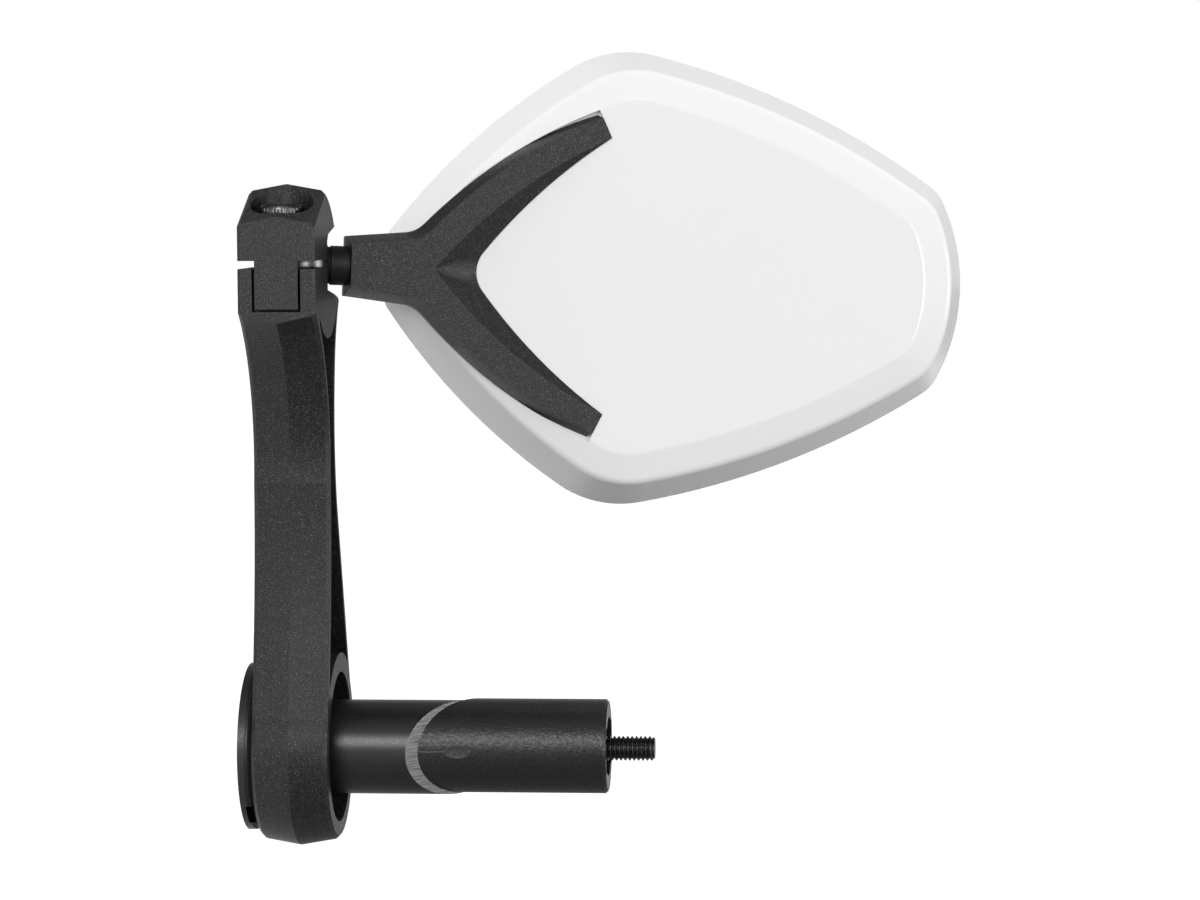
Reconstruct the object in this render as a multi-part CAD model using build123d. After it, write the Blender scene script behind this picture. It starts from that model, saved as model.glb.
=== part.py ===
from build123d import *
from math import atan, cos, degrees, hypot, radians, sin, sqrt, tan
import os

# Frame: origin on the plug axis in the hub's bar-side face, +X into the bar, +Z up, sizes in mm.

# Arm, a moulded piece with the parting ridge in its middle plane
ARM_T = 12.0
DRAFT_DEG = 10.0
EDGE_CH = 0.6
HUB_R = 15.7
FRONT_Y = -21.0
GAP_Z = 76.8
GAP = 1.25
WEB_T = 4.4
POCKET_RIM = 0.95
RIB_T = 1.4
HUB_BOSS_R = 15.0
CLAMP_BOSS_R = 11.5
CLAMP_BOSS_Y = -8.0

# Hub: socket for the bar's end on one side, seat for the screw and the end cap on the other
SOCKET_R = 11.95
SOCKET_DEPTH = 6.4
TUBE_SEAT_DEPTH = 0.9
TUBE_FIT = 0.05
SEAT_X = -8.8
SEAT_R = 5.3
CAP_POCKET_R = 10.1
CAP_POCKET_DEPTH = 2.2

# Ball joint
BALL_R = 6.0
BALL_Y = -3.5
BALL_Z = 77.2
CUP_FIT = 0.05
MOUTH_Y = -8.1
STEM_R = 3.1
NECK_R = 2.9
COLLAR_END = 9.9
SHANK_R = 2.2
SHANK_END = 16.0
SHANK_FIT = 0.03

# Clamp screw (M4), its washer and the threaded insert
BOLT_R = 1.98
BOLT_FIT = 0.07
HEAD_R = 3.5
HEAD_H = 4.0
KEY_AF = 3.0
KEY_DEPTH = 2.2
WASHER_R = 4.5
WASHER_T = 0.8
CLAMP_Y = -14.6
CLAMP_FLOOR_Z = 81.8
CLAMP_CBORE_R = 4.85
CLAMP_BOLT_L = 14.0
INSERT_R = 2.8
INSERT_L = 7.0
TONGUE_W = 6.7
TONGUE_L = 7.4
TONGUE_T = 2.4
TONGUE_GAP = 0.4

# Expander plug
PLUG_R = 7.5
PLUG_BORE_R = 4.7
CUT_X = 18.9
CUT_ROLL_DEG = 1.5
WEDGE_SHIFT = 1.7
WEDGE_TIGHT = 1.8
WEDGE_FIT = 0.02
WEDGE_END_X = 42.9
SCREW_L = 60.0
NUT_AF = 7.0
NUT_T = 3.2
NUT_FIT = 0.1
END_RECESS_HALF = 4.65
END_RECESS_DEPTH = 1.5
GATE_X = 19.4
GATE_L = 3.9
GATE_W = 1.75
GATE_DEEP = 0.2
PARTING_W = 0.16
PARTING_DEEP = 0.07

# End cap
CAP_R = HUB_R - 2.4
CAP_RIM = 2.4
CAP_DOME = 0.7
CAP_EDGE_R = 1.5
CAP_GROOVE = 0.25
CAP_GROOVE_X = 0.9
CAP_SPIGOT_T = 1.2
CAP_SPIGOT_L = 1.9
CAP_FIT = 0.1
NOTCH_W = 1.6
NOTCH_H = 3.2
NOTCH_Z = 8.0
NOTCH_Y = -3.0
NOTCH_DEEP = 2.9

# Mirror head, set at the ball by three angles
YAW_DEG = 12.0
PITCH_DEG = 2.7
TILT_DEG = -2.5
PANEL_W = 3.0
SHOULDER_W = 4.2
RIM_W = 13.2
SHOULDER_IN = 3.7
PANEL_IN = 8.4
NOSE_U = 15.3
MIRROR_END_U = 110.6
MIRROR_END_R = 32.0
MIRROR_END_ARC = 21.0
SHELL_EDGE_R = 1.5
SHELL_FLOOR_W = 6.2
LEDGE_W = 10.2
SEAT_IN = 2.3
GLASS_T = 2.0
GLASS_GAP = 0.2
PAD_T = 0.8

# Bracket
BR_END_U = 7.9
BR_NECK_H = 4.7
BR_NECK_H2 = 5.9
BR_FRONT_W = -4.2
BR_SLOPE = 0.165
BR_CH = 1.25
BR_END_BACK = 0.5
BR_BEVEL_U = 35.0
BR_BEVEL_DEG = 18.0
BR_FACET_DEG = 45.0
BR_CROTCH_R = 5.0
BR_RIDGE_R = 0.3
BR_INNER_W = 2.7
BR_SEAT_GAP = 0.08
TIP_U = 49.3
TIP_V = 23.9
TIP_DEG = 26.0
BR_SCREWS = [(25.6, 0.0), (35.6, 14.6), (35.6, -14.6)]
BR_SCREW_R = 1.4
BR_SCREW_TIP_W = 1.2
BR_SCREW_HEAD_R = 2.4
BR_SCREW_HEAD_H = 1.8

MID_X = -ARM_T / 2.0
BALL = Vector(MID_X, BALL_Y, BALL_Z)
SIDE = Plane(origin=(MID_X, 0, 0), x_dir=(0, 1, 0), z_dir=(1, 0, 0))
HEAD = Pos(*BALL) * Rot(0, 0, YAW_DEG) * Rot(0, PITCH_DEG, 0) * Rot(TILT_DEG, 0, 0)

os.makedirs("parts", exist_ok=True)


def circle_through(a, b, c):
    """Centre and radius of the circle through three points."""
    d = 2.0 * (a[0] * (b[1] - c[1]) + b[0] * (c[1] - a[1]) + c[0] * (a[1] - b[1]))
    sa, sb, sc = (p[0] ** 2 + p[1] ** 2 for p in (a, b, c))
    x = (sa * (b[1] - c[1]) + sb * (c[1] - a[1]) + sc * (a[1] - b[1])) / d
    y = (sa * (c[0] - b[0]) + sb * (a[0] - c[0]) + sc * (b[0] - a[0])) / d
    return x, y, hypot(a[0] - x, a[1] - y)


def box(x0, x1, y0, y1, z0, z1):
    """Box between two corners."""
    return Pos((x0 + x1) / 2, (y0 + y1) / 2, (z0 + z1) / 2) * Box(x1 - x0, y1 - y0, z1 - z0)


def rod_x(r, x0, x1, y=0.0, z=0.0):
    """Round rod along X."""
    return Pos((x0 + x1) / 2, y, z) * Rot(0, 90, 0) * Cylinder(r, x1 - x0)


def rod_z(r, z0, z1, x=0.0, y=0.0):
    """Round rod along Z."""
    return Pos(x, y, (z0 + z1) / 2) * Cylinder(r, z1 - z0)


def moulded(face):
    """Both halves of a moulded body from its outline in the parting plane."""
    half = ARM_T / 2.0 - EDGE_CH
    body = None
    for way in (1, -1):
        lower = extrude(face, half * way, taper=DRAFT_DEG)
        end = lower.faces().filter_by(Axis.X).sort_by(Axis.X)[-1 if way > 0 else 0]
        upper = extrude(end, EDGE_CH, taper=45.0)
        piece = lower + upper
        body = piece if body is None else body + piece
    return body


# Arm outline in the parting plane, as (Y, Z)
with BuildSketch(SIDE) as arm_sk:
    with BuildLine():
        Line((-14.6, 5.0), (-11.7, 20.0))
        ThreePointArc((-11.7, 20.0), (-10.1, 33.0), (-9.8, 43.0))
        ThreePointArc((-9.8, 43.0), (-12.5, 58.7), (-22.1, 69.2))
        Line((-22.1, 69.2), (-22.1, 86.0))
        Line((-22.1, 86.0), (5.0, 86.0))
        Line((5.0, 86.0), (5.0, 70.8))
        ThreePointArc((5.0, 70.8), (1.9, 66.4), (-0.2, 60.0))
        ThreePointArc((-0.2, 60.0), (-1.1, 50.0), (0.6, 39.5))
        Line((0.6, 39.5), (14.0, 5.5))
        Line((14.0, 5.5), (-14.6, 5.0))
    make_face()
    Circle(HUB_R)
arm = moulded(arm_sk.sketch.face())
mouth = SIDE * make_face(
    Polyline(
        (MOUTH_Y, 73.2),
        (MOUTH_Y, 80.9),
        (-7.0, 81.9),
        (1.2, 83.3),
        (9.0, 84.6),
        (9.0, 67.0),
        (5.6, 70.0),
        (2.4, 71.7),
        (-1.6, 72.4),
        close=True,
    )
)
mouth = extrude(mouth, ARM_T, both=True)
cup = Pos(*BALL) * Sphere(BALL_R + CUP_FIT)
front_cut = box(-30, 30, -60, FRONT_Y, 60, 100)

# Side pocket of the arm with one diagonal rib
rim = EDGE_CH + POCKET_RIM + (ARM_T / 2.0) * tan(radians(DRAFT_DEG))
pocket_sk = offset(arm_sk.sketch.face(), -rim)
pocket = extrude(pocket_sk, ARM_T / 2.0 + 1.0)
pocket += extrude(pocket_sk, -(ARM_T / 2.0 - WEB_T))
pocket -= rod_x(HUB_BOSS_R, -20, 10)
pocket -= rod_x(CLAMP_BOSS_R, -20, 10, CLAMP_BOSS_Y, BALL_Z)
pocket &= box(-20, 10, -16.5, 30, 0, 70)
rib = Pos(MID_X, -5.0, 35.6) * Rot(36.0, 0, 0) * Box(ARM_T - 2.0, 20.0, RIB_T)
pocket -= rib
arm -= pocket
arm -= box(-30, 30, -60, 60, GAP_Z, 120)
arm -= front_cut
arm -= mouth
arm -= cup
slot_half = TONGUE_W / 2.0 + TONGUE_GAP
slot_floor = GAP_Z + GAP - TONGUE_L - TONGUE_GAP
arm -= box(MID_X - slot_half, MID_X + slot_half, -40, FRONT_Y + TONGUE_T + TONGUE_GAP, slot_floor, 100)
arm -= rod_z(INSERT_R, GAP_Z - INSERT_L, 100, MID_X, CLAMP_Y)
bolt_tip_z = CLAMP_FLOOR_Z + WASHER_T - CLAMP_BOLT_L
arm -= rod_z(BOLT_R + BOLT_FIT, bolt_tip_z - 0.4, 100, MID_X, CLAMP_Y)

# Hub bores
tube_x = -SOCKET_DEPTH - TUBE_SEAT_DEPTH
arm -= rod_x(SOCKET_R, -SOCKET_DEPTH, 10)
arm -= rod_x(PLUG_R + TUBE_FIT, tube_x, 10)
arm -= rod_x(CAP_POCKET_R, -30, -ARM_T + CAP_POCKET_DEPTH)
arm -= rod_x(SEAT_R, -30, SEAT_X)
arm -= rod_x(BOLT_R + BOLT_FIT, -30, 10)
export_step(arm, "parts/arm.step")

# Clamp cap: upper jaw, roof and tongue
with BuildSketch(SIDE) as cap_sk:
    with BuildLine():
        Line((-22.1, 70.0), (-22.1, 84.3))
        Line((-22.1, 84.3), (-9.8, 89.75))
        ThreePointArc((-9.8, 89.75), (-2.6, 86.7), (1.8, 82.4))
        Line((1.8, 82.4), (1.8, 70.0))
        Line((1.8, 70.0), (-22.1, 70.0))
    make_face()
clamp_cap = moulded(cap_sk.sketch.face())
clamp_cap -= box(-30, 30, -60, 60, 0, GAP_Z + GAP)
clamp_cap -= front_cut
clamp_cap -= mouth
tongue = box(
    MID_X - TONGUE_W / 2.0,
    MID_X + TONGUE_W / 2.0,
    FRONT_Y,
    FRONT_Y + TONGUE_T,
    GAP_Z + GAP - TONGUE_L,
    GAP_Z + GAP + 1.0,
)
clamp_cap += tongue
clamp_cap -= cup
clamp_cap -= rod_z(CLAMP_CBORE_R, CLAMP_FLOOR_Z, 110, MID_X, CLAMP_Y)
clamp_cap -= rod_z(BOLT_R + BOLT_FIT, 60, 110, MID_X, CLAMP_Y)
export_step(clamp_cap, "parts/clamp_cap.step")


def cap_screw(length):
    """Socket cap screw along +Z, the underside of its head at zero, the shank going down."""
    head = chamfer(Cylinder(HEAD_R, HEAD_H).edges().sort_by(Axis.Z)[-1], 0.35)
    body = Pos(0, 0, HEAD_H / 2) * head
    body -= Pos(0, 0, HEAD_H) * extrude(RegularPolygon(KEY_AF / 2, 6, major_radius=False), -KEY_DEPTH)
    shank = chamfer(Cylinder(BOLT_R, length).edges().sort_by(Axis.Z)[0], 0.45)
    return body + Pos(0, 0, -length / 2) * shank


def washer():
    """Flat washer with its lower face at zero."""
    return Pos(0, 0, WASHER_T / 2) * (Cylinder(WASHER_R, WASHER_T) - Cylinder(BOLT_R + 0.17, WASHER_T))


clamp_at = Pos(MID_X, CLAMP_Y, CLAMP_FLOOR_Z)
export_step(clamp_at * washer(), "parts/clamp_washer.step")
export_step(clamp_at * Pos(0, 0, WASHER_T) * cap_screw(CLAMP_BOLT_L), "parts/clamp_screw.step")
insert = rod_z(INSERT_R, GAP_Z - INSERT_L, GAP_Z - 0.2, MID_X, CLAMP_Y)
insert -= rod_z(BOLT_R + 0.02, 0, 100, MID_X, CLAMP_Y)
export_step(insert, "parts/clamp_insert.step")

# Expander plug: tube with a slanted end, wedge, screw, washer and nut
LONG = 2.0 * WEDGE_END_X
cut_half = Pos(CUT_X, 0, 0) * Rot(CUT_ROLL_DEG, 0, 0) * Rot(0, 0, -45.0) * Pos(LONG, 0, 0)
cut_half = cut_half * Box(2 * LONG, 2 * LONG, 2 * LONG)
tube = rod_x(PLUG_R, tube_x, LONG) - rod_x(PLUG_BORE_R, tube_x, LONG)
tube -= cut_half
export_step(tube, "parts/expander_tube.step")

side = Vector(0, cos(radians(CUT_ROLL_DEG)), sin(radians(CUT_ROLL_DEG)))
wedge_at = Pos(0, WEDGE_SHIFT * side.Y, WEDGE_SHIFT * side.Z) * Rot(CUT_ROLL_DEG, 0, 0)
travel = WEDGE_SHIFT + WEDGE_TIGHT
mean = (WEDGE_TIGHT - WEDGE_SHIFT) / 2.0


def slot_x(half_h, length, x0, x1):
    """Round-ended slot along Y, pushed along X, in the wedge's own frame."""
    at = Plane(origin=(x0, mean, 0), x_dir=(0, 1, 0), z_dir=(1, 0, 0))
    return extrude(at * SlotCenterToCenter(length, 2 * half_h), x1 - x0)


nut_x1 = WEDGE_END_X - END_RECESS_DEPTH
nut_x0 = nut_x1 - NUT_T
nut_half = NUT_AF / 2.0 + NUT_FIT
wedge = chamfer(rod_x(PLUG_R, 0, WEDGE_END_X).edges().sort_by(Axis.X)[-1], 0.4)
wedge -= slot_x(BOLT_R + 0.27, travel, 0, 60)
wedge -= slot_x(END_RECESS_HALF, 1.2, nut_x1, 60)
nut_run = NUT_AF / sqrt(3.0) + NUT_FIT + travel / 2.0
wedge -= box(nut_x0 - NUT_FIT, 60, mean - nut_run, mean + nut_run, -nut_half, nut_half)
gate_at = Plane(origin=(GATE_X, -PLUG_R - 1.0, 0), x_dir=(1, 0, 0), z_dir=(0, 1, 0))
gate = extrude(gate_at * Ellipse(GATE_L / 2.0, GATE_W / 2.0), PLUG_R / 2.0)
wedge -= gate - rod_x(PLUG_R - GATE_DEEP, 0, WEDGE_END_X)
parting = box(0, GATE_X, -PLUG_R - 1.0, 0, -PARTING_W / 2.0, PARTING_W / 2.0)
wedge -= parting - rod_x(PLUG_R - PARTING_DEEP, 0, WEDGE_END_X)
wedge = wedge_at * wedge
wedge &= Pos(WEDGE_FIT, 0, 0) * cut_half
export_step(wedge, "parts/expander_wedge.step")

nut = extrude(Plane.YZ.offset(nut_x0) * RegularPolygon(NUT_AF / 2, 6, rotation=0, major_radius=False), NUT_T)
nut = Rot(CUT_ROLL_DEG, 0, 0) * (nut - rod_x(BOLT_R + 0.02, 0, 90))
export_step(nut, "parts/expander_nut.step")
seat = Pos(SEAT_X, 0, 0) * Rot(0, -90, 0)
export_step(seat * washer(), "parts/expander_washer.step")
export_step(seat * Pos(0, 0, WASHER_T) * cap_screw(SCREW_L), "parts/expander_screw.step")

# End cap
x_rim = -ARM_T - CAP_RIM
cap_dome_r = (CAP_R**2 + CAP_DOME**2) / (2 * CAP_DOME)
end_cap = rod_x(CAP_R, x_rim - CAP_DOME, -ARM_T)
end_cap &= Pos(x_rim - CAP_DOME + cap_dome_r, 0, 0) * Sphere(cap_dome_r)
cap_edge = end_cap.edges().filter_by(GeomType.CIRCLE).sort_by(Axis.X)[0]
end_cap = fillet(cap_edge, CAP_EDGE_R)
spigot_r = CAP_POCKET_R - CAP_FIT
end_cap += rod_x(spigot_r, -ARM_T, -ARM_T + CAP_SPIGOT_L)
end_cap -= rod_x(spigot_r - CAP_SPIGOT_T, x_rim + 0.4, 0)
groove_x = -ARM_T - CAP_GROOVE_X
groove = rod_x(CAP_R + 1.0, groove_x - CAP_GROOVE, groove_x)
end_cap -= groove - rod_x(CAP_R - CAP_GROOVE, groove_x - CAP_GROOVE, groove_x)
notch = box(-ARM_T - NOTCH_W, -ARM_T, -CAP_R, NOTCH_Y, -NOTCH_Z - NOTCH_H, -NOTCH_Z)
end_cap -= notch - rod_x(CAP_R - NOTCH_DEEP, x_rim - CAP_DOME, -ARM_T)
export_step(end_cap, "parts/end_cap.step")

# Ball stud in the head's frame, then set at the ball
stud_u = sqrt(BALL_R**2 - NECK_R**2)
stud_sk = Plane.XY * make_face(
    Polyline(
        (0, 0),
        (0, NECK_R),
        (stud_u + 0.2, NECK_R),
        (stud_u + 0.2 + STEM_R - NECK_R, STEM_R),
        (COLLAR_END, STEM_R),
        (COLLAR_END, SHANK_R),
        (SHANK_END, SHANK_R),
        (SHANK_END, 0),
        close=True,
    )
)
stud = revolve(stud_sk, Axis.X) + Sphere(BALL_R)
export_step(HEAD * stud, "parts/ball_stud.step")


def front_face(sk, w):
    """A sketch laid in the head's face plane at depth w, its normal towards the back cover."""
    return Plane(origin=(0, w, 0), x_dir=(1, 0, 0), z_dir=(0, -1, 0)) * sk


def lens(points, grow):
    """Area shared by the circle through three points and its mirror image."""
    x, y, r = circle_through(*points)
    return (Pos(x, y) * Circle(r + grow)) & (Pos(x, -y) * Circle(r + grow))


def near(vertices, x, y):
    """The vertices nearest to a point and its mirror image."""
    a = sorted(vertices, key=lambda p: hypot(p.X - x, p.Y - y))[0]
    b = sorted(vertices, key=lambda p: hypot(p.X - x, p.Y + y))[0]
    return [a, b]


# Bracket
outer_pts = ((22.5, 9.25), (31.0, 16.6), (48.2, 26.5))
inner_pts = ((31.6, 5.0), (38.9, 12.95), (50.2, 22.2))


def inner_area(grow, corner):
    """Open area between the two arms of the bracket."""
    area = lens(inner_pts, grow) & (Pos(60, 0) * Rectangle(80, 90))
    left = area.vertices().sort_by(Axis.X)[0]
    return fillet(left, corner)


def tip_half(way):
    """Half plane that ends one arm."""
    at = Pos(TIP_U, TIP_V * way) * Rot(0, 0, TIP_DEG * way)
    return at * Pos(-TIP_U, 0) * Rectangle(2 * TIP_U, 6 * TIP_V)


def bracket_area(grow, end_back=0.0):
    """Outline of the bracket before the space between its arms is taken out."""
    neck = make_face(
        Polyline(
            (BR_END_U + end_back, -BR_NECK_H - grow),
            (BR_END_U + end_back, BR_NECK_H + grow),
            (24.0, BR_NECK_H2 + 0.5 + grow),
            (24.0, -BR_NECK_H2 - 0.5 - grow),
            close=True,
        )
    )
    area = (lens(outer_pts, grow) & tip_half(1) & tip_half(-1)) + neck
    joint = [v for v in area.vertices() if 14.0 < v.X < 23.5]
    return fillet(joint, 5.0 - grow)


bracket_sk = bracket_area(0.0)
bracket = extrude(front_face(bracket_sk, SHOULDER_W), 12.0)
lean = atan(BR_SLOPE)
facet = Pos(BR_BEVEL_U, BR_FRONT_W + BR_SLOPE * (BR_BEVEL_U - BR_END_U), 0) * Rot(0, 0, degrees(lean))
bevel_deep = 14.0
bevel_grow = bevel_deep * tan(radians(BR_BEVEL_DEG)) - BR_CH
bevel_front = front_face(Pos(-BR_BEVEL_U, 0) * bracket_area(-BR_CH, BR_END_BACK), 0.0)
bevel_back = front_face(Pos(-BR_BEVEL_U, 0) * bracket_area(bevel_grow), bevel_deep)
bracket &= loft([(facet * bevel_front).face(), (facet * bevel_back).face()], ruled=True)
rise = 9.0
bracket -= extrude(front_face(inner_area(0.0, BR_CROTCH_R), SHOULDER_W), 12.0)
ramp = loft(
    [
        front_face(inner_area(0.0, BR_CROTCH_R), BR_INNER_W).face(),
        front_face(inner_area(rise * tan(radians(BR_FACET_DEG)), BR_RIDGE_R), BR_INNER_W - rise).face(),
    ],
    ruled=True,
)
bracket -= ramp
bracket -= rod_x(STEM_R + SHANK_FIT, 0, COLLAR_END + 0.1)
bracket -= rod_x(SHANK_R + SHANK_FIT, 0, SHANK_END + 0.3)


def rod_w(r, w0, w1, u, v):
    """Round rod along the head's depth."""
    return Pos(u, (w0 + w1) / 2, v) * Rot(90, 0, 0) * Cylinder(r, w1 - w0)


for u, v in BR_SCREWS:
    bracket -= rod_w(BR_SCREW_R + 0.02, BR_SCREW_TIP_W - 0.3, 20, u, v)
export_step(HEAD * bracket, "parts/mirror_bracket.step")

screws = []
for u, v in BR_SCREWS:
    shank = rod_w(BR_SCREW_R, BR_SCREW_TIP_W, SHELL_FLOOR_W, u, v)
    head = rod_w(BR_SCREW_HEAD_R, SHELL_FLOOR_W, SHELL_FLOOR_W + BR_SCREW_HEAD_H, u, v)
    socket = Pos(u, SHELL_FLOOR_W + BR_SCREW_HEAD_H, v) * (Box(3.0, 1.8, 0.8) + Box(0.8, 1.8, 3.0))
    screws.append(HEAD * (shank + head - socket))
export_step(Compound(children=screws), "parts/bracket_screws.step")

# Mirror housing: five shallow arcs and a short nose, lofted between rim, shoulder and panel
EDGE_LEFT = (101.95, -54.62, 105.43)
EDGE_TOP = (31.42, -93.69, 132.9)
EDGE_RIGHT = (MIRROR_END_U - MIRROR_END_R, 0.0, MIRROR_END_R)
WIDE = 2.0 * MIRROR_END_U


def outline(inset, nose, r_top, r_right, r_nose):
    """Outline of the mirror at an inset from its rim, its nose cut square, with rounded corners."""
    area = None
    for x, y, r in (EDGE_LEFT, EDGE_TOP):
        for way in (1, -1):
            disc = Pos(x, y * way) * Circle(r - inset)
            area = disc if area is None else area & disc
    x, y, r = EDGE_RIGHT
    area &= (Pos(x, y) * Circle(r - inset)) + (Pos(-MIRROR_END_ARC, 0) * Rectangle(WIDE, WIDE))
    area &= Pos(nose + WIDE / 2.0, 0) * Rectangle(WIDE, WIDE)
    area = fillet(near(area.vertices(), 51.5, 37.5 - inset), r_top)
    area = fillet(near(area.vertices(), MIRROR_END_U - 5.0 - inset, 15.8 - inset / 2), r_right)
    return fillet(near(area.vertices(), nose, 6.5), r_nose)


rim_sk = outline(0.0, NOSE_U, 18.0, 7.0, 3.0)
shoulder_sk = outline(SHOULDER_IN, NOSE_U + SHOULDER_IN, 15.0, 7.0, 2.0)
panel_sk = outline(PANEL_IN, NOSE_U + SHOULDER_IN + 8.0, 9.0, 6.0, 1.0)
rim_face = front_face(rim_sk, RIM_W).face()
shoulder_face = front_face(shoulder_sk, SHOULDER_W).face()
panel_face = front_face(panel_sk, PANEL_W).face()
housing = loft([rim_face, shoulder_face], ruled=True) + loft([shoulder_face, panel_face], ruled=True)


def level_edges(shape, w):
    """Edges of a shape that lie at one depth of the head."""
    return [e for e in shape.edges() if all(abs((e @ t).Y - w) < 0.001 for t in (0.0, 0.5, 1.0))]


housing = fillet(level_edges(housing, SHOULDER_W), SHELL_EDGE_R)
housing = fillet(level_edges(housing, PANEL_W), SHELL_EDGE_R)
glass_w0 = LEDGE_W + PAD_T
glass_seat = outline(SEAT_IN, NOSE_U + SEAT_IN, 16.0, 7.0, 2.5)
housing -= extrude(front_face(glass_seat, RIM_W + 1.0), RIM_W + 1.0 - LEDGE_W)
well_top = outline(4.1, NOSE_U + 5.5, 14.0, 6.0, 2.0)
well_floor = outline(5.5, NOSE_U + 7.5, 13.0, 6.0, 2.0)
well = loft([front_face(well_top, LEDGE_W).face(), front_face(well_floor, SHELL_FLOOR_W).face()], ruled=True)
housing -= well
seat_area = offset(bracket_sk, BR_SEAT_GAP, kind=Kind.INTERSECTION) - inner_area(-BR_SEAT_GAP, BR_CROTCH_R)
housing -= extrude(front_face(seat_area, SHOULDER_W), 12.0)
for u, v in BR_SCREWS:
    housing -= rod_w(BR_SCREW_R + 0.2, 0, 20, u, v)
export_step(HEAD * housing, "parts/mirror_housing.step")

pad_sk = outline(SEAT_IN + 0.4, NOSE_U + SEAT_IN + 0.4, 16.0, 7.0, 2.3)
pad = extrude(front_face(pad_sk, LEDGE_W + PAD_T), PAD_T)
export_step(HEAD * pad, "parts/glass_pad.step")
glass_sk = outline(SEAT_IN + GLASS_GAP, NOSE_U + SEAT_IN + GLASS_GAP, 16.0, 7.0, 2.4)
glass = extrude(front_face(glass_sk, glass_w0 + GLASS_T), GLASS_T)
export_step(HEAD * glass, "parts/mirror_glass.step")
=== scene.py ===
import math

import bmesh
import bpy
from mathutils import Matrix, Vector


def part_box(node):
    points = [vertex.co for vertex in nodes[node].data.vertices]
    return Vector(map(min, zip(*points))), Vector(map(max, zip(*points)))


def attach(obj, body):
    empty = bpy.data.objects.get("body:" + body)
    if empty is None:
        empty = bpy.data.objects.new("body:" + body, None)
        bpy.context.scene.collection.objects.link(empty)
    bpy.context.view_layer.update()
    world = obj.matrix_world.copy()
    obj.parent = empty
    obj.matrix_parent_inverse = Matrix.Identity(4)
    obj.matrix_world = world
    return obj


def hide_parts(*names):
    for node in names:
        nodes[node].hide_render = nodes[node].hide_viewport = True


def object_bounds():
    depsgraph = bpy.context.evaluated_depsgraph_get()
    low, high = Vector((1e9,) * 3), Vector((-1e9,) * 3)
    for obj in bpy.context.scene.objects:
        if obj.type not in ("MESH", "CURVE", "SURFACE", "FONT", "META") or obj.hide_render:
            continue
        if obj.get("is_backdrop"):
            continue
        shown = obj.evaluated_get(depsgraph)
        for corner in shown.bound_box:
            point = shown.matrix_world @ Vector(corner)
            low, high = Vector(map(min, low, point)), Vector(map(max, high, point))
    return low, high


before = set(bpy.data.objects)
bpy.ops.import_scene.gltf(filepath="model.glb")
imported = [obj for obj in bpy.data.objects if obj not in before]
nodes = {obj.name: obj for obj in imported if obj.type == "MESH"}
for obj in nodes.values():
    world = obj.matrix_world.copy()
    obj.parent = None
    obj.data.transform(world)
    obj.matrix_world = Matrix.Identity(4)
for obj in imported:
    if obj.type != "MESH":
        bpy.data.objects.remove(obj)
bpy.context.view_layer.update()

MM = 0.001
TURN = 2.0 * math.pi
JOIN_DIST = 1e-7

# Sockets of the mix node, by place, because those of every data type share their names
MIX_A, MIX_B, MIX_OUT = 2, 3, 0
MIX_COLOR_A, MIX_COLOR_B, MIX_COLOR_OUT = 6, 7, 2

# Camera: place in metres, angles in degrees, lens and sensor in millimetres
CAMERA_AT = (0.0836, -0.5500, 0.0900)
CAMERA_AZIMUTH = 4.34
CAMERA_ELEVATION = 4.4
CAMERA_ROLL = 0.3
CAMERA_LENS = 105.0
SENSOR_WIDTH = 36.0

# Stage
FLOOR_Z = -0.125
FLOOR_HALF = 6.0
FLOOR_GLOW = 0.90
FLOOR_SHARE = 0.24
FLOOR_BOUNCE = 0.24
WORLD_LIGHT = 0.68

# Floor in reflections, with a painted shade under the part: the darker tone near the part and the lighter far
# tone, and where one fades to the other, along x and twice along y
FLOOR_GLOSS_PAINTED_SHADE = 0.24
FLOOR_GLOSS_FAR = 0.76
FLOOR_LEFT = (-0.015, -0.060)
FLOOR_BACK = (0.25, 0.60)
FLOOR_BACK_END = (1.20, 0.90)

# World in reflections, from the camera's side to the backdrop behind the part: place on the ramp, level
WORLD_GLOSS = [
    (0.0, 0.80),
    (0.32, 0.34),
    (0.48, 0.07),
    (0.58, 0.06),
    (0.80, 0.24),
    (0.90, 0.17),
    (0.975, 0.43),
]

# Lamps: name, place, size, power, colour, whether reflections show it
AIM = Vector((0.03, 0.0, 0.05))
LAMPS = [
    ("key", (-0.14, -1.00, 0.40), 0.36, 3.55, (1.0, 0.99, 0.975), True),
    ("top", (0.02, 0.02, 1.00), 0.60, 0.60, (0.98, 0.99, 1.0), False),
    ("top_left", (-0.55, 0.10, 0.85), 0.60, 1.00, (0.98, 0.99, 1.0), False),
    ("rim", (0.10, 0.62, 0.80), 0.60, 0.30, (0.97, 0.985, 1.0), False),
    ("back", (0.05, 1.10, 0.20), 0.60, 0.90, (1.0, 1.0, 1.0), False),
    ("edge", (0.42, -0.85, 0.50), 0.10, 0.18, (1.0, 1.0, 1.0), True),
    ("front_right", (0.75, -0.80, 0.14), 0.26, 1.50, (1.0, 1.0, 1.0), True),
    ("front_fill", (0.00, -1.10, 0.15), 0.50, 0.55, (1.0, 1.0, 1.0), False),
    ("right", (1.60, -0.10, 0.08), 0.50, 4.6, (1.0, 1.0, 1.0), True),
    ("right_fill", (1.40, 0.32, 0.06), 0.60, 4.5, (1.0, 1.0, 1.0), False),
    ("left", (-0.80, -0.20, 0.02), 0.30, 0.90, (1.0, 0.96, 0.90), True),
]

# Plug joint: a plane through CUT_X on the plug's axis, the edge of its bare metal and the brush marks' scale
CUT_X = 18.9 * MM
CUT_NORMAL = Vector((0.70711, -0.70687, -0.01851))
BARE_EDGE = (-0.00003, -0.00001)
BRUSH_SCALE = (260.0, 260.0, 9000.0)

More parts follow.
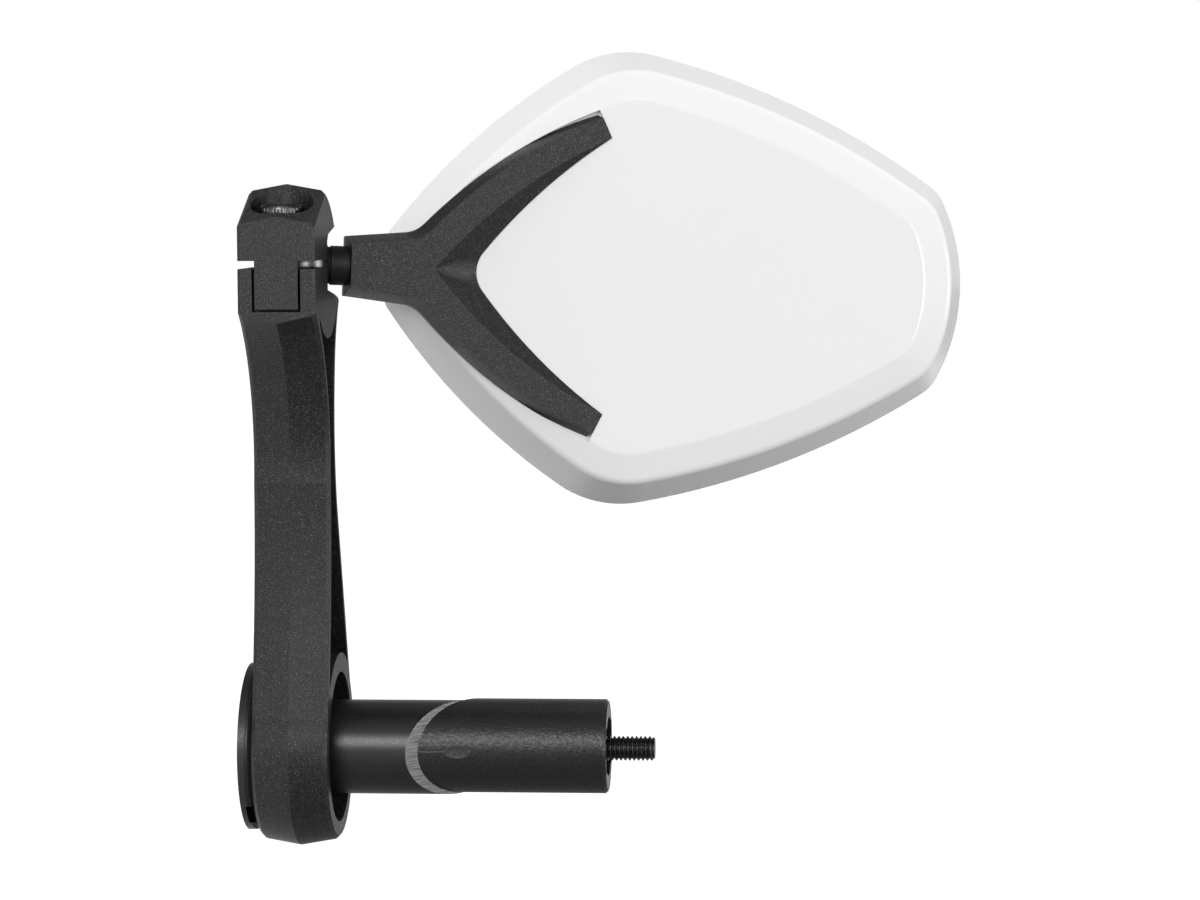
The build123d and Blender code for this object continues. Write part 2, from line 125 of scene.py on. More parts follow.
# Ball stud: the ball's centre, the stem's direction and where the bright steel ends
BALL = Vector((-6.0, -3.5, 77.2)) * MM
STUD_AXIS = Vector((0.97706, 0.20768, -0.04711))
BRIGHT_TO = 4.3 * MM
BRIGHT_FADE = 0.0002

# Wedge, in millimetres: gate mark by its half sizes and place from the far end, and the parting line to it
GATE_FROM_END = 23.5
GATE_HALF = (2.05, 1.02)
GATE_RIM = 0.13
GATE_MID = -0.02
GATE_TEAR = 0.35
GATE_RING = 64
LINE_FROM_END = 31.2
LINE_WIDE = 0.22
LINE_FLAT = 0.05
LINE_HIGH = 0.07
LINE_FOOT = -0.02
LINE_SWAY = 0.03
LINE_SWAY_RATE = 2.3
LINE_STEPS = 30

# Section of the gate mark from its middle outwards: share of the half size, share of the rim's height
GATE_PROFILE = ((0.45, -0.06), (0.72, -0.02), (0.82, 0.7), (0.90, 1.0), (0.97, 0.6), (1.06, -0.25))

# Head frame: u along the stud, w away from the back cover, v up; angles as the part rests
HEAD_YAW = 12.0
HEAD_PITCH = 2.7
HEAD_TILT = -2.5

# Bracket's inner facets, in millimetres: circle of the arms' inner edge, its depth, widening, corner radii
FACET_POINTS = ((31.6, 5.0), (38.9, 12.95), (50.2, 22.2))
FACET_W = 2.7
FACET_WIDEN = 1.06
FACET_START = -0.02
FACET_RISE = 7.0
FACET_BELOW = 0.4
FACET_LEVELS = 24
ARM_STEPS = 40
CORNER_STEPS = 12
CREASE_FOOT_R = 5.0
CREASE_FALL = 0.055
CREASE_LEAST_R = 0.3
PILOT_AT = (25.6, 0.0)
PILOT_FILL_R = 1.7
PILOT_FILL_W = (0.3, 2.2)
PILOT_STEPS = 48
FACET_END_U = 56.0
CREASE_SHARP = 24.0

# M4 screws
PITCH = 0.7 * MM
SCREW_R = 1.98 * MM
ROOT_R = 1.58 * MM
HEAD_R = 3.5 * MM
HEAD_H = 4.0 * MM
KEY_HALF = 1.5 * MM
KEY_DEPTH = 2.2 * MM
KNURLS = 36
KNURL_DEPTH = 0.11 * MM
LEAD_IN = 0.55 * MM
RUN_OUT = 0.8 * MM
TURN_STEPS = 10
CLAMP_THREAD = 9.0 * MM
EXPANDER_THREAD = 20.0 * MM
RING = 144
RING_SHARP = 38.0


def new_material(name):
    """A material with its link function, its shader node and a helper to add nodes."""
    mat = bpy.data.materials.new(name)
    mat.use_nodes = True
    tree = mat.node_tree
    shader = tree.nodes["Principled BSDF"]

    def add(kind, **values):
        node = tree.nodes.new(kind)
        for key, value in values.items():
            setattr(node, key, value)
        return node

    return mat, tree.links.new, shader, add


def noise(add, link, coords, scale, detail, rough):
    """Noise over the object's own coordinates; scale counts features in a metre."""
    tex = add("ShaderNodeTexNoise")
    tex.inputs["Scale"].default_value = scale
    tex.inputs["Detail"].default_value = detail
    tex.inputs["Roughness"].default_value = rough
    link(coords, tex.inputs["Vector"])
    return tex.outputs["Fac"]


def ramp(add, link, fac, low, high, a, b):
    """Maps a factor between two values onto a range."""
    node = add("ShaderNodeMapRange")
    node.inputs["From Min"].default_value = low
    node.inputs["From Max"].default_value = high
    node.inputs["To Min"].default_value = a
    node.inputs["To Max"].default_value = b
    link(fac, node.inputs["Value"])
    return node.outputs["Result"]


def mix_color(add, link, fac, a, b):
    """Mixes two colours, or sockets, by a factor."""
    node = add("ShaderNodeMix", data_type="RGBA")
    link(fac, node.inputs["Factor"])
    for value, socket in ((a, node.inputs[MIX_COLOR_A]), (b, node.inputs[MIX_COLOR_B])):
        if isinstance(value, (tuple, list)):
            socket.default_value = (*value, 1.0)
        else:
            link(value, socket)
    return node.outputs[MIX_COLOR_OUT]


def mix_value(add, link, fac, a, b):
    """Mixes two numbers, or sockets, by a factor."""
    node = add("ShaderNodeMix", data_type="FLOAT")
    link(fac, node.inputs["Factor"])
    for value, socket in ((a, node.inputs[MIX_A]), (b, node.inputs[MIX_B])):
        if isinstance(value, (int, float)):
            socket.default_value = value
        else:
            link(value, socket)
    return node.outputs[MIX_OUT]


def bump(add, link, height, strength, distance, shader):
    """Bump from a height socket."""
    node = add("ShaderNodeBump")
    node.inputs["Strength"].default_value = strength
    node.inputs["Distance"].default_value = distance
    link(height, node.inputs["Height"])
    link(node.outputs["Normal"], shader.inputs["Normal"])


def grained_nylon():
    """Black glass-filled nylon with a spark-eroded grain and pale fibre flecks, made brighter in the colour
    as painted glints.
    """
    mat, link, shader, add = new_material("black_nylon")
    coords = add("ShaderNodeTexCoord").outputs["Object"]
    grain = noise(add, link, coords, 2700.0, 4.0, 0.65)
    flecks_and_glints = noise(add, link, coords, 6200.0, 2.0, 0.5)
    patches = noise(add, link, coords, 90.0, 3.0, 0.5)
    dark = mix_color(add, link, patches, (0.006, 0.006, 0.0063), (0.009, 0.009, 0.0093))
    # Pale fibre flecks in the base colour, partly the fibres' own tone and partly painted glints standing for
    # their sparkle
    fleck_and_glint = ramp(add, link, flecks_and_glints, 0.56, 0.80, 0.0, 1.0)
    link(mix_color(add, link, fleck_and_glint, dark, (0.18, 0.18, 0.185)), shader.inputs["Base Color"])
    link(ramp(add, link, grain, 0.3, 0.7, 0.30, 0.52), shader.inputs["Roughness"])
    shader.inputs["Specular IOR Level"].default_value = 0.40
    bump(add, link, grain, 0.45, 0.00008, shader)
    return mat


def satin_black(name, color, rough, scale, strength, depth=0.00005):
    """Smoother black plastic with a faint mould texture."""
    mat, link, shader, add = new_material(name)
    coords = add("ShaderNodeTexCoord").outputs["Object"]
    fine = noise(add, link, coords, scale, 4.0, 0.55)
    cloud = noise(add, link, coords, 160.0, 3.0, 0.6)
    link(
        mix_color(add, link, cloud, tuple(c * 0.75 for c in color), tuple(c * 1.35 for c in color)),
        shader.inputs["Base Color"],
    )
    link(ramp(add, link, fine, 0.3, 0.7, rough - 0.08, rough + 0.08), shader.inputs["Roughness"])
    shader.inputs["Specular IOR Level"].default_value = 0.45
    bump(add, link, fine, strength, depth, shader)
    return mat


def gloss_white():
    """Gloss white moulding with a very slight orange peel."""
    mat, link, shader, add = new_material("white_shell")
    coords = add("ShaderNodeTexCoord").outputs["Object"]
    peel = noise(add, link, coords, 420.0, 2.0, 0.5)
    cloud = noise(add, link, coords, 45.0, 2.0, 0.5)
    white = mix_color(add, link, cloud, (0.856, 0.863, 0.866), (0.868, 0.874, 0.877))
    link(white, shader.inputs["Base Color"])
    link(ramp(add, link, peel, 0.3, 0.7, 0.15, 0.21), shader.inputs["Roughness"])
    shader.inputs["Specular IOR Level"].default_value = 0.4
    bump(add, link, peel, 0.05, 0.00004, shader)
    return mat


def anodised_tube():
    """Black anodised aluminium, bare and brushed where the slanted cut was made."""
    mat, link, shader, add = new_material("anodised_tube")
    coords = add("ShaderNodeTexCoord").outputs["Object"]
    away = add("ShaderNodeVectorMath", operation="SUBTRACT")
    away.inputs[1].default_value = (CUT_X, 0.0, 0.0)
    link(coords, away.inputs[0])
    height = add("ShaderNodeVectorMath", operation="DOT_PRODUCT")
    height.inputs[1].default_value = CUT_NORMAL
    link(away.outputs["Vector"], height.inputs[0])
    bare = ramp(add, link, height.outputs["Value"], *BARE_EDGE, 0.0, 1.0)
    stretch = add("ShaderNodeMapping")
    stretch.inputs["Scale"].default_value = BRUSH_SCALE
    link(coords, stretch.inputs["Vector"])
    brushed = noise(add, link, stretch.outputs["Vector"], 1.0, 3.0, 0.6)
    fine = noise(add, link, coords, 3800.0, 3.0, 0.6)
    streaks = ramp(add, link, brushed, 0.35, 0.65, 0.0, 1.0)
    metal = mix_color(add, link, streaks, (0.115, 0.115, 0.118), (0.41, 0.41, 0.415))
    black = mix_color(add, link, fine, (0.007, 0.007, 0.0075), (0.014, 0.014, 0.0145))
    link(mix_color(add, link, bare, black, metal), shader.inputs["Base Color"])
    link(bare, shader.inputs["Metallic"])
    black_rough = ramp(add, link, fine, 0.3, 0.7, 0.26, 0.36)
    link(mix_value(add, link, bare, black_rough, 0.42), shader.inputs["Roughness"])
    shader.inputs["Specular IOR Level"].default_value = 0.55
    both = mix_value(add, link, bare, fine, brushed)
    bump(add, link, both, 0.25, 0.00003, shader)
    return mat


def steel(name, low, high, rough):
    """Steel with a fine ground finish."""
    mat, link, shader, add = new_material(name)
    coords = add("ShaderNodeTexCoord").outputs["Object"]
    fine = noise(add, link, coords, 5200.0, 3.0, 0.6)
    cloud = noise(add, link, coords, 500.0, 3.0, 0.6)
    link(mix_color(add, link, cloud, low, high), shader.inputs["Base Color"])
    shader.inputs["Metallic"].default_value = 1.0
    link(ramp(add, link, fine, 0.3, 0.7, rough - 0.07, rough + 0.07), shader.inputs["Roughness"])
    bump(add, link, fine, 0.12, 0.00002, shader)
    return mat


def stud_steel():
    """Ball stud: the ball ground bright, the stem blackened."""
    mat, link, shader, add = new_material("bright_steel_stud")
    coords = add("ShaderNodeTexCoord").outputs["Object"]
    away = add("ShaderNodeVectorMath", operation="SUBTRACT")
    away.inputs[1].default_value = BALL
    link(coords, away.inputs[0])
    along = add("ShaderNodeVectorMath", operation="DOT_PRODUCT")
    along.inputs[1].default_value = STUD_AXIS
    link(away.outputs["Vector"], along.inputs[0])
    stem = ramp(add, link, along.outputs["Value"], BRIGHT_TO - BRIGHT_FADE, BRIGHT_TO, 0.0, 1.0)
    fine = noise(add, link, coords, 4200.0, 3.0, 0.6)
    bright = mix_color(add, link, fine, (0.11, 0.11, 0.115), (0.17, 0.17, 0.175))
    black = mix_color(add, link, fine, (0.007, 0.007, 0.0075), (0.013, 0.013, 0.0135))
    link(mix_color(add, link, stem, bright, black), shader.inputs["Base Color"])
    link(mix_value(add, link, stem, 1.0, 0.0), shader.inputs["Metallic"])
    rough = ramp(add, link, fine, 0.3, 0.7, 0.36, 0.48)
    shader.inputs["Specular IOR Level"].default_value = 0.35
    link(mix_value(add, link, stem, 0.26, rough), shader.inputs["Roughness"])
    bump(add, link, fine, 0.12, 0.00002, shader)
    return mat


def mirror_glass():
    """Silvered glass with a faint coolness."""
    mat, link, shader, add = new_material("silvered_glass")
    coords = add("ShaderNodeTexCoord").outputs["Object"]
    haze = noise(add, link, coords, 60.0, 3.0, 0.5)
    silver = mix_color(add, link, haze, (0.86, 0.875, 0.88), (0.88, 0.89, 0.895))
    link(silver, shader.inputs["Base Color"])
    shader.inputs["Metallic"].default_value = 1.0
    link(ramp(add, link, haze, 0.3, 0.7, 0.015, 0.03), shader.inputs["Roughness"])
    return mat


def foam():
    """Dark closed-cell foam tape."""
    mat, link, shader, add = new_material("foam_pad")
    coords = add("ShaderNodeTexCoord").outputs["Object"]
    cells = noise(add, link, coords, 2200.0, 2.0, 0.5)
    black = mix_color(add, link, cells, (0.035, 0.035, 0.036), (0.075, 0.075, 0.076))
    link(black, shader.inputs["Base Color"])
    shader.inputs["Roughness"].default_value = 0.92
    bump(add, link, cells, 0.6, 0.0001, shader)
    return mat


NYLON = grained_nylon()
LOOKS = {
    "arm": NYLON,
    "clamp_cap": NYLON,
    "mirror_bracket": NYLON,
    "clamp_screw": steel("black_steel", (0.085, 0.085, 0.087), (0.15, 0.15, 0.153), 0.28),
    "clamp_insert": steel("brass_insert", (0.62, 0.45, 0.20), (0.74, 0.56, 0.28), 0.3),
    "expander_tube": anodised_tube(),
    "expander_wedge": satin_black("black_wedge", (0.012, 0.0115, 0.011), 0.31, 2000.0, 1.0, 0.00008),
    "end_cap": satin_black("black_cap", (0.020, 0.020, 0.0205), 0.36, 3000.0, 0.2),
    "ball_stud": stud_steel(),
    "bracket_screws": steel("bright_steel", (0.50, 0.50, 0.51), (0.64, 0.64, 0.65), 0.3),
    "mirror_housing": gloss_white(),
    "glass_pad": foam(),
    "mirror_glass": mirror_glass(),
}
for same in ("clamp_washer", "expander_nut", "expander_washer", "expander_screw"):
    LOOKS[same] = LOOKS["clamp_screw"]
for node, look in LOOKS.items():
    mesh = nodes[node].data
    mesh.materials.clear()
    mesh.materials.append(look)


def ring_mesh(name, rings, look):
    """A closed turned piece along +Z, from rings of a radius function and a height, capped at both ends."""
    verts = []
    for radius, height in rings:
        for k in range(RING):
            a = TURN * k / RING
            r = radius(a, height)
            verts.append((r * math.cos(a), r * math.sin(a), height))
    faces = []
    for i in range(len(rings) - 1):
        for k in range(RING):
            n = (k + 1) % RING
            faces.append((i * RING + k, i * RING + n, (i + 1) * RING + n, (i + 1) * RING + k))
    faces.append(tuple(range(RING - 1, -1, -1)))
    last = (len(rings) - 1) * RING
    faces.append(tuple(range(last, last + RING)))
    mesh = bpy.data.meshes.new(name)
    mesh.from_pydata(verts, [], faces)
    mesh.shade_smooth()
    mesh.set_sharp_from_angle(angle=math.radians(RING_SHARP))
    mesh.materials.append(look)
    obj = bpy.data.objects.new(name, mesh)
    bpy.context.scene.collection.objects.link(obj)
    return obj


def threaded_screw(name, length, thread):
    """Socket cap screw: knurled head with a hexagon socket, and a rolled thread on the shank's end."""

    def plain(r):
        return lambda a, z: r

    def thread_radius(a, z):
        turns = (z / PITCH - a / TURN) % 1.0
        wave = 1.0 - abs(2.0 * turns - 1.0)
        wave = min(1.0, max(0.0, 1.25 * wave - 0.1))
        lead = min(1.0, (z + length) / LEAD_IN * 0.75 + 0.25)
        fade = min(1.0, max(0.0, (-z - (length - thread)) / RUN_OUT))
        full = SCREW_R - (SCREW_R - ROOT_R) * (1.0 - wave) * fade
        return min(full, SCREW_R * (0.74 + 0.26 * lead))

    def knurled(a, z):
        return HEAD_R - KNURL_DEPTH * (0.5 + 0.5 * math.cos(KNURLS * a)) ** 2

    def hexagon(shrink):
        return lambda a, z: shrink * KEY_HALF / math.cos((a % (TURN / 6)) - TURN / 12)

    steps = int(thread / PITCH * TURN_STEPS)
    rings = [(plain(SCREW_R * 0.5), -length)]
    rings += [(thread_radius, -length + thread * i / steps) for i in range(steps + 1)]
    rings += [(plain(SCREW_R), -0.25 * MM), (plain(SCREW_R + 0.2 * MM), 0.0)]
    rings += [(plain(HEAD_R - 0.22 * MM), 0.0), (knurled, 0.18 * MM)]
    rings += [(knurled, HEAD_H - 0.75 * MM), (plain(HEAD_R - 0.06 * MM), HEAD_H - 0.6 * MM)]
    rings += [(plain(HEAD_R - 0.10 * MM), HEAD_H - 0.28 * MM), (plain(HEAD_R - 0.38 * MM), HEAD_H)]
    rings += [(hexagon(1.14), HEAD_H), (hexagon(1.0), HEAD_H - 0.18 * MM)]
    rings += [(hexagon(1.0), HEAD_H - KEY_DEPTH), (hexagon(0.15), HEAD_H - KEY_DEPTH - 0.3 * MM)]
    return ring_mesh(name, rings, LOOKS["clamp_screw"])


def place(piece, origin, axis, body, node):
    """Sets a piece with its +Z along an axis, on its body, in place of a node."""
    turn = Vector((0.0, 0.0, 1.0)).rotation_difference(Vector(axis)).to_matrix().to_4x4()
    piece.data.transform(Matrix.Translation(Vector(origin)) @ turn)
    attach(piece, body)
    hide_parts(node)


def head_matrix():
    """Head frame to the part's frame, at rest, in millimetres to metres."""
    turn = Matrix.Rotation(math.radians(HEAD_YAW), 4, "Z")
    turn = turn @ Matrix.Rotation(math.radians(HEAD_PITCH), 4, "Y")
    turn = turn @ Matrix.Rotation(math.radians(HEAD_TILT), 4, "X")
    return Matrix.Translation(BALL) @ turn @ Matrix.Scale(MM, 4)


def circle_through(a, b, c):
    """Centre and radius of the circle through three points."""
    (ax, ay), (bx, by), (cx, cy) = a, b, c
    d = 2.0 * (ax * (by - cy) + bx * (cy - ay) + cx * (ay - by))
    aa, bb, cc = ax * ax + ay * ay, bx * bx + by * by, cx * cx + cy * cy
    x = (aa * (by - cy) + bb * (cy - ay) + cc * (ay - by)) / d
    y = (aa * (cx - bx) + bb * (ax - cx) + cc * (bx - ax)) / d
    return x, y, math.hypot(ax - x, ay - y)


def facet_loop(rise):
    """Outline of the open space between the arms at a height above its edge, rounded at the crotch."""
    x, y, r = circle_through(*FACET_POINTS)
    r += FACET_WIDEN * rise + FACET_START
    high = max(0.0, rise)
    corner = max(CREASE_LEAST_R, CREASE_FOOT_R - CREASE_FALL * high ** 3)
    mid = x - math.sqrt((r - corner) ** 2 - y * y)
    touch = math.atan2(-y, mid - x)
    far = math.acos((FACET_END_U - x) / r)
    arm = [far + (touch - far) * k / ARM_STEPS for k in range(ARM_STEPS + 1)]
    upper = [(x + r * math.cos(a), y + r * math.sin(a)) for a in arm]
    turn = [touch + (math.pi - touch) * k / CORNER_STEPS for k in range(1, CORNER_STEPS + 1)]
    upper += [(mid + corner * math.cos(a), corner * math.sin(a)) for a in turn]
    return upper + [(u, -v) for u, v in reversed(upper[:-1])]


def loft_mesh(name, loops):
    """A closed mesh in the head frame through loops of (u, w, v) points, capped at both ends."""
    count = len(loops[0])
    faces = []
    for i in range(len(loops) - 1):
        for k in range(count):
            n = (k + 1) % count
            faces.append((i * count + k, i * count + n, (i + 1) * count + n, (i + 1) * count + k))
    faces.append(tuple(range(count - 1, -1, -1)))
    faces.append(tuple(range((len(loops) - 1) * count, len(loops) * count)))
    mesh = bpy.data.meshes.new(name)
    mesh.from_pydata([point for loop in loops for point in loop], [], faces)
    mesh.transform(head_matrix())
    return mesh


def clean_object(mesh):
    """An object of a mesh with its doubled points joined and its faces turned outwards."""
    shape = bmesh.new()
    shape.from_mesh(mesh)
    bmesh.ops.remove_doubles(shape, verts=shape.verts, dist=JOIN_DIST)
    bmesh.ops.recalc_face_normals(shape, faces=shape.faces)
    shape.to_mesh(mesh)
    shape.free()
    obj = bpy.data.objects.new(mesh.name, mesh)
    bpy.context.scene.collection.objects.link(obj)
    return obj


def creased_bracket():
    """The bracket with its inner facets running together in a crease."""
    span = FACET_RISE + FACET_BELOW
    levels = [-FACET_BELOW + span * k / FACET_LEVELS for k in range(FACET_LEVELS + 1)]
    space = loft_mesh("facet_space", [[(u, FACET_W - t, v) for u, v in facet_loop(t)] for t in levels])
    turns = [TURN * k / PILOT_STEPS for k in range(PILOT_STEPS)]
    pilot_u, pilot_v = PILOT_AT
    round_loop = [(pilot_u + PILOT_FILL_R * math.cos(a), pilot_v + PILOT_FILL_R * math.sin(a)) for a in turns]
    fill = loft_mesh("pilot_fill", [[(u, w, v) for u, v in round_loop] for w in PILOT_FILL_W])
    plain = nodes["mirror_bracket"].data
    solid = bpy.data.meshes.new("bracket_creased")
    solid.from_pydata([v.co[:] for v in plain.vertices], [], [f.vertices[:] for f in plain.polygons])
    solid.transform(nodes["mirror_bracket"].matrix_world)
    piece = clean_object(solid)
    tools = [(clean_object(fill), "UNION"), (clean_object(space), "DIFFERENCE")]
    for tool, operation in tools:
        step = piece.modifiers.new(operation, "BOOLEAN")
        step.operation = operation
        step.solver = "EXACT"
        step.object = tool
    bpy.context.view_layer.update()
    mesh = bpy.data.meshes.new_from_object(piece.evaluated_get(bpy.context.evaluated_depsgraph_get()))
    piece.modifiers.clear()
    piece.data = mesh
    for tool, _ in tools:
        bpy.data.objects.remove(tool)
    mesh.materials.clear()
    mesh.materials.append(NYLON)
    mesh.shade_smooth()
    mesh.set_sharp_from_angle(angle=math.radians(CREASE_SHARP))
    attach(piece, "head")
    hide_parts("mirror_bracket")


creased_bracket()


def gate_mark():
    """Torn gate mark with a raised rim, and the parting line that runs to it, on the wedge's round side."""
    low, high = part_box("expander_wedge")
    radius = (high.z - low.z) / 2.0 / MM
    mid = Vector((high.x / MM, (low.y + radius * MM) / MM, (low.z + high.z) / 2.0 / MM))

    def on_round(x, z, rise):
        a = z / radius
        r = radius + rise
        return (Vector((x, -r * math.cos(a), r * math.sin(a))) + mid) * MM

    count = GATE_RING
    verts = [on_round(-GATE_FROM_END, 0.0, GATE_MID)]
    for share, rise in GATE_PROFILE:
        for k in range(count):
            a = TURN * k / count
            torn = GATE_TEAR * math.sin(5.0 * a + 1.0) * math.sin(3.0 * a + share * 4.0)
            lift = GATE_RIM * (rise + (torn if rise > -0.2 else 0.0) * (0.6 if rise > 0.5 else 0.9))
            x = -GATE_FROM_END + GATE_HALF[0] * share * math.cos(a)
            verts.append(on_round(x, GATE_HALF[1] * share * math.sin(a), lift))
    faces = [(0, 1 + (k + 1) % count, 1 + k) for k in range(count)]
    for i in range(len(GATE_PROFILE) - 1):
        inner = 1 + i * count
        outer = inner + count
        for k in range(count):
            n = (k + 1) % count
            faces.append((inner + k, inner + n, outer + n, outer + k))
    first = len(verts)
    section = (
        (-LINE_WIDE, LINE_FOOT),
        (-LINE_FLAT, LINE_HIGH),
        (LINE_FLAT, LINE_HIGH),
        (LINE_WIDE, LINE_FOOT),
    )
    across = len(section)
    for k in range(LINE_STEPS + 1):
        x = -LINE_FROM_END + (LINE_FROM_END - GATE_FROM_END - GATE_HALF[0]) * k / LINE_STEPS
        sway = LINE_SWAY * math.sin(x * LINE_SWAY_RATE)
        for z, rise in section:
            verts.append(on_round(x, z + sway, rise))
    for k in range(LINE_STEPS):
        for i in range(across - 1):
            a = first + across * k + i
            faces.append((a, a + across, a + across + 1, a + 1))
    mesh = bpy.data.meshes.new("gate_mark")
    mesh.from_pydata(verts, [], faces)
    mesh.shade_smooth()
    mesh.materials.append(satin_black("black_gate", (0.035, 0.034, 0.032), 0.42, 4200.0, 1.0))
    piece = bpy.data.objects.new("gate_mark", mesh)
    bpy.context.scene.collection.objects.link(piece)
    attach(piece, "wedge")


gate_mark()

low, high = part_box("clamp_screw")
place(
    threaded_screw("clamp_screw_threaded", high.z - low.z - HEAD_H, CLAMP_THREAD),
    ((low.x + high.x) / 2, (low.y + high.y) / 2, high.z - HEAD_H),
    (0, 0, 1),
    "arm",
    "clamp_screw",
)
low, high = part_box("expander_screw")
place(
    threaded_screw("expander_screw_threaded", high.x - low.x - HEAD_H, EXPANDER_THREAD),
    (low.x + HEAD_H, 0.0, 0.0),
    (-1, 0, 0),
    "screw",
    "expander_screw",
)


def light_path(tree):
    """Share that is 1 where the background is seen directly or through glass, and one for reflections."""
    path = tree.nodes.new("ShaderNodeLightPath")
    most = tree.nodes.new("ShaderNodeMath")
    most.operation = "MAXIMUM"
    tree.links.new(path.outputs["Is Camera Ray"], most.inputs[0])
    tree.links.new(path.outputs["Is Transmission Ray"], most.inputs[1])
    return most.outputs["Value"], path.outputs["Is Glossy Ray"]


def make_floor():
    """Wide white floor under the part: white to the eye, with a soft shadow; in reflections it carries a
    painted shade under the part, lighter to the left and far back.
    """
    mesh = bpy.data.meshes.new("floor")
    h = FLOOR_HALF
    corners = ((-h, -h), (h, -h), (h, h), (-h, h))
    mesh.from_pydata([(x, y, FLOOR_Z) for x, y in corners], [], [(0, 1, 2, 3)])
    floor = bpy.data.objects.new("floor", mesh)
    bpy.context.scene.collection.objects.link(floor)
    floor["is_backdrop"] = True
    mat = bpy.data.materials.new("floor_white")
    mat.use_nodes = True
    tree = mat.node_tree
    out = tree.nodes["Material Output"]
    tree.nodes.remove(tree.nodes["Principled BSDF"])
    seen_share, glossy_share = light_path(tree)
    coords = tree.nodes.new("ShaderNodeTexCoord")
    parts = tree.nodes.new("ShaderNodeSeparateXYZ")
    tree.links.new(coords.outputs["Object"], parts.inputs["Vector"])
    far = tree.nodes.new("ShaderNodeMath")
    far.operation = "MAXIMUM"
    band = tree.nodes.new("ShaderNodeMath")
    band.operation = "MINIMUM"
    # Painted shade: the floor's tone in reflections is dark near the part and fades lighter to the left and
    # far back
    for target, axis, (start, end) in (
        (far.inputs[0], "X", FLOOR_LEFT),
        (band.inputs[0], "Y", FLOOR_BACK),
        (band.inputs[1], "Y", FLOOR_BACK_END),
    ):
        fade = tree.nodes.new("ShaderNodeMapRange")
        fade.inputs["From Min"].default_value = start
        fade.inputs["From Max"].default_value = end
        fade.inputs["To Min"].default_value = FLOOR_GLOSS_PAINTED_SHADE
        fade.inputs["To Max"].default_value = FLOOR_GLOSS_FAR
        tree.links.new(parts.outputs[axis], fade.inputs["Value"])
        tree.links.new(fade.outputs["Result"], target)
    tree.links.new(band.outputs["Value"], far.inputs[1])
    bounce_or_painted_tone = tree.nodes.new("ShaderNodeMix")
    bounce_or_painted_tone.data_type = "FLOAT"
    bounce_or_painted_tone.inputs[MIX_A].default_value = FLOOR_BOUNCE
    tree.links.new(far.outputs["Value"], bounce_or_painted_tone.inputs[MIX_B])
    tree.links.new(glossy_share, bounce_or_painted_tone.inputs["Factor"])
    lit = tree.nodes.new("ShaderNodeBsdfDiffuse")
    tree.links.new(bounce_or_painted_tone.outputs[MIX_OUT], lit.inputs["Color"])
    shade = tree.nodes.new("ShaderNodeBsdfDiffuse")
    shade.inputs["Color"].default_value = (FLOOR_SHARE, FLOOR_SHARE, FLOOR_SHARE, 1.0)
    glow = tree.nodes.new("ShaderNodeEmission")
    glow.inputs["Strength"].default_value = FLOOR_GLOW
    seen = tree.nodes.new("ShaderNodeAddShader")
    tree.links.new(shade.outputs["BSDF"], seen.inputs[0])
    tree.links.new(glow.outputs["Emission"], seen.inputs[1])
    mix = tree.nodes.new("ShaderNodeMixShader")
    tree.links.new(seen_share, mix.inputs["Fac"])
    tree.links.new(lit.outputs["BSDF"], mix.inputs[1])
    tree.links.new(seen.outputs["Shader"], mix.inputs[2])
    tree.links.new(mix.outputs["Shader"], out.inputs["Surface"])
    mesh.materials.append(mat)


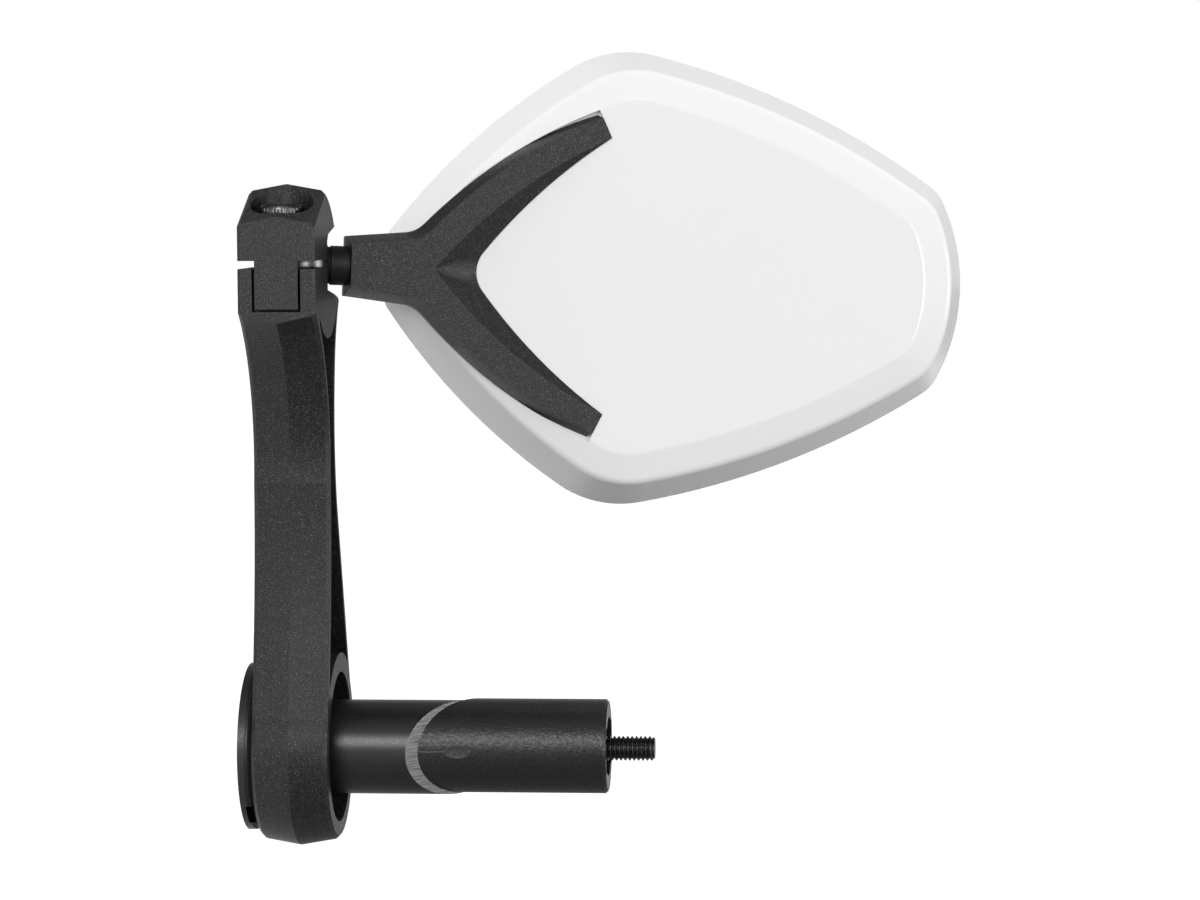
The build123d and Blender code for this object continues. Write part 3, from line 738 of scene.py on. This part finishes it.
def make_world():
    """White where it is seen, softer where it lights, and in reflections a white backdrop in a dim room."""
    world = bpy.data.worlds.new("studio")
    bpy.context.scene.world = world
    world.use_nodes = True
    tree = world.node_tree
    back = tree.nodes["Background"]
    seen_share, glossy_share = light_path(tree)
    coords = tree.nodes.new("ShaderNodeTexCoord")
    parts = tree.nodes.new("ShaderNodeSeparateXYZ")
    tree.links.new(coords.outputs["Generated"], parts.inputs["Vector"])
    depth = tree.nodes.new("ShaderNodeMapRange")
    depth.inputs["From Min"].default_value = -1.0
    tree.links.new(parts.outputs["Y"], depth.inputs["Value"])
    room = tree.nodes.new("ShaderNodeValToRGB")
    room.color_ramp.interpolation = "EASE"
    while len(room.color_ramp.elements) < len(WORLD_GLOSS):
        room.color_ramp.elements.new(0.5)
    for element, (at, level) in zip(room.color_ramp.elements, WORLD_GLOSS):
        element.position = at
        element.color = (level, level, level, 1.0)
    tree.links.new(depth.outputs["Result"], room.inputs["Fac"])
    level = tree.nodes.new("ShaderNodeMix")
    level.data_type = "FLOAT"
    level.inputs[MIX_A].default_value = WORLD_LIGHT
    tree.links.new(glossy_share, level.inputs["Factor"])
    tree.links.new(room.outputs["Color"], level.inputs[MIX_B])
    strength = tree.nodes.new("ShaderNodeMix")
    strength.data_type = "FLOAT"
    strength.inputs[MIX_B].default_value = 1.0
    tree.links.new(seen_share, strength.inputs["Factor"])
    tree.links.new(level.outputs[MIX_OUT], strength.inputs[MIX_A])
    tree.links.new(strength.outputs[MIX_OUT], back.inputs["Strength"])
    back.inputs["Color"].default_value = (1.0, 1.0, 1.0, 1.0)


def make_lamps():
    """Soft square lamps aimed at the part."""
    for name, at, size, power, color, gloss in LAMPS:
        data = bpy.data.lights.new(name, "AREA")
        data.shape = "SQUARE"
        data.size = size
        data.energy = power
        data.color = color
        lamp = bpy.data.objects.new(name, data)
        lamp.location = at
        lamp.visible_glossy = gloss
        lamp.rotation_mode = "QUATERNION"
        lamp.rotation_quaternion = (AIM - Vector(at)).to_track_quat("-Z", "Y")
        bpy.context.scene.collection.objects.link(lamp)


def make_camera():
    """Camera at the photograph's angle."""
    a = math.radians(CAMERA_AZIMUTH)
    e = math.radians(CAMERA_ELEVATION)
    r = math.radians(CAMERA_ROLL)
    back = Vector((math.sin(a) * math.cos(e), -math.cos(a) * math.cos(e), math.sin(e)))
    right = Vector((math.cos(a), math.sin(a), 0.0))
    up = back.cross(right)
    right, up = right * math.cos(r) - up * math.sin(r), up * math.cos(r) + right * math.sin(r)
    data = bpy.data.cameras.new("camera")
    data.lens = CAMERA_LENS
    data.sensor_width = SENSOR_WIDTH
    camera = bpy.data.objects.new("camera", data)
    turn = Matrix((right, up, back)).transposed().to_4x4()
    camera.matrix_world = Matrix.Translation(Vector(CAMERA_AT)) @ turn
    bpy.context.scene.collection.objects.link(camera)
    bpy.context.scene.camera = camera


make_floor()
make_world()
make_lamps()
make_camera()
bpy.context.scene.view_settings.view_transform = "Standard"

low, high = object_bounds()
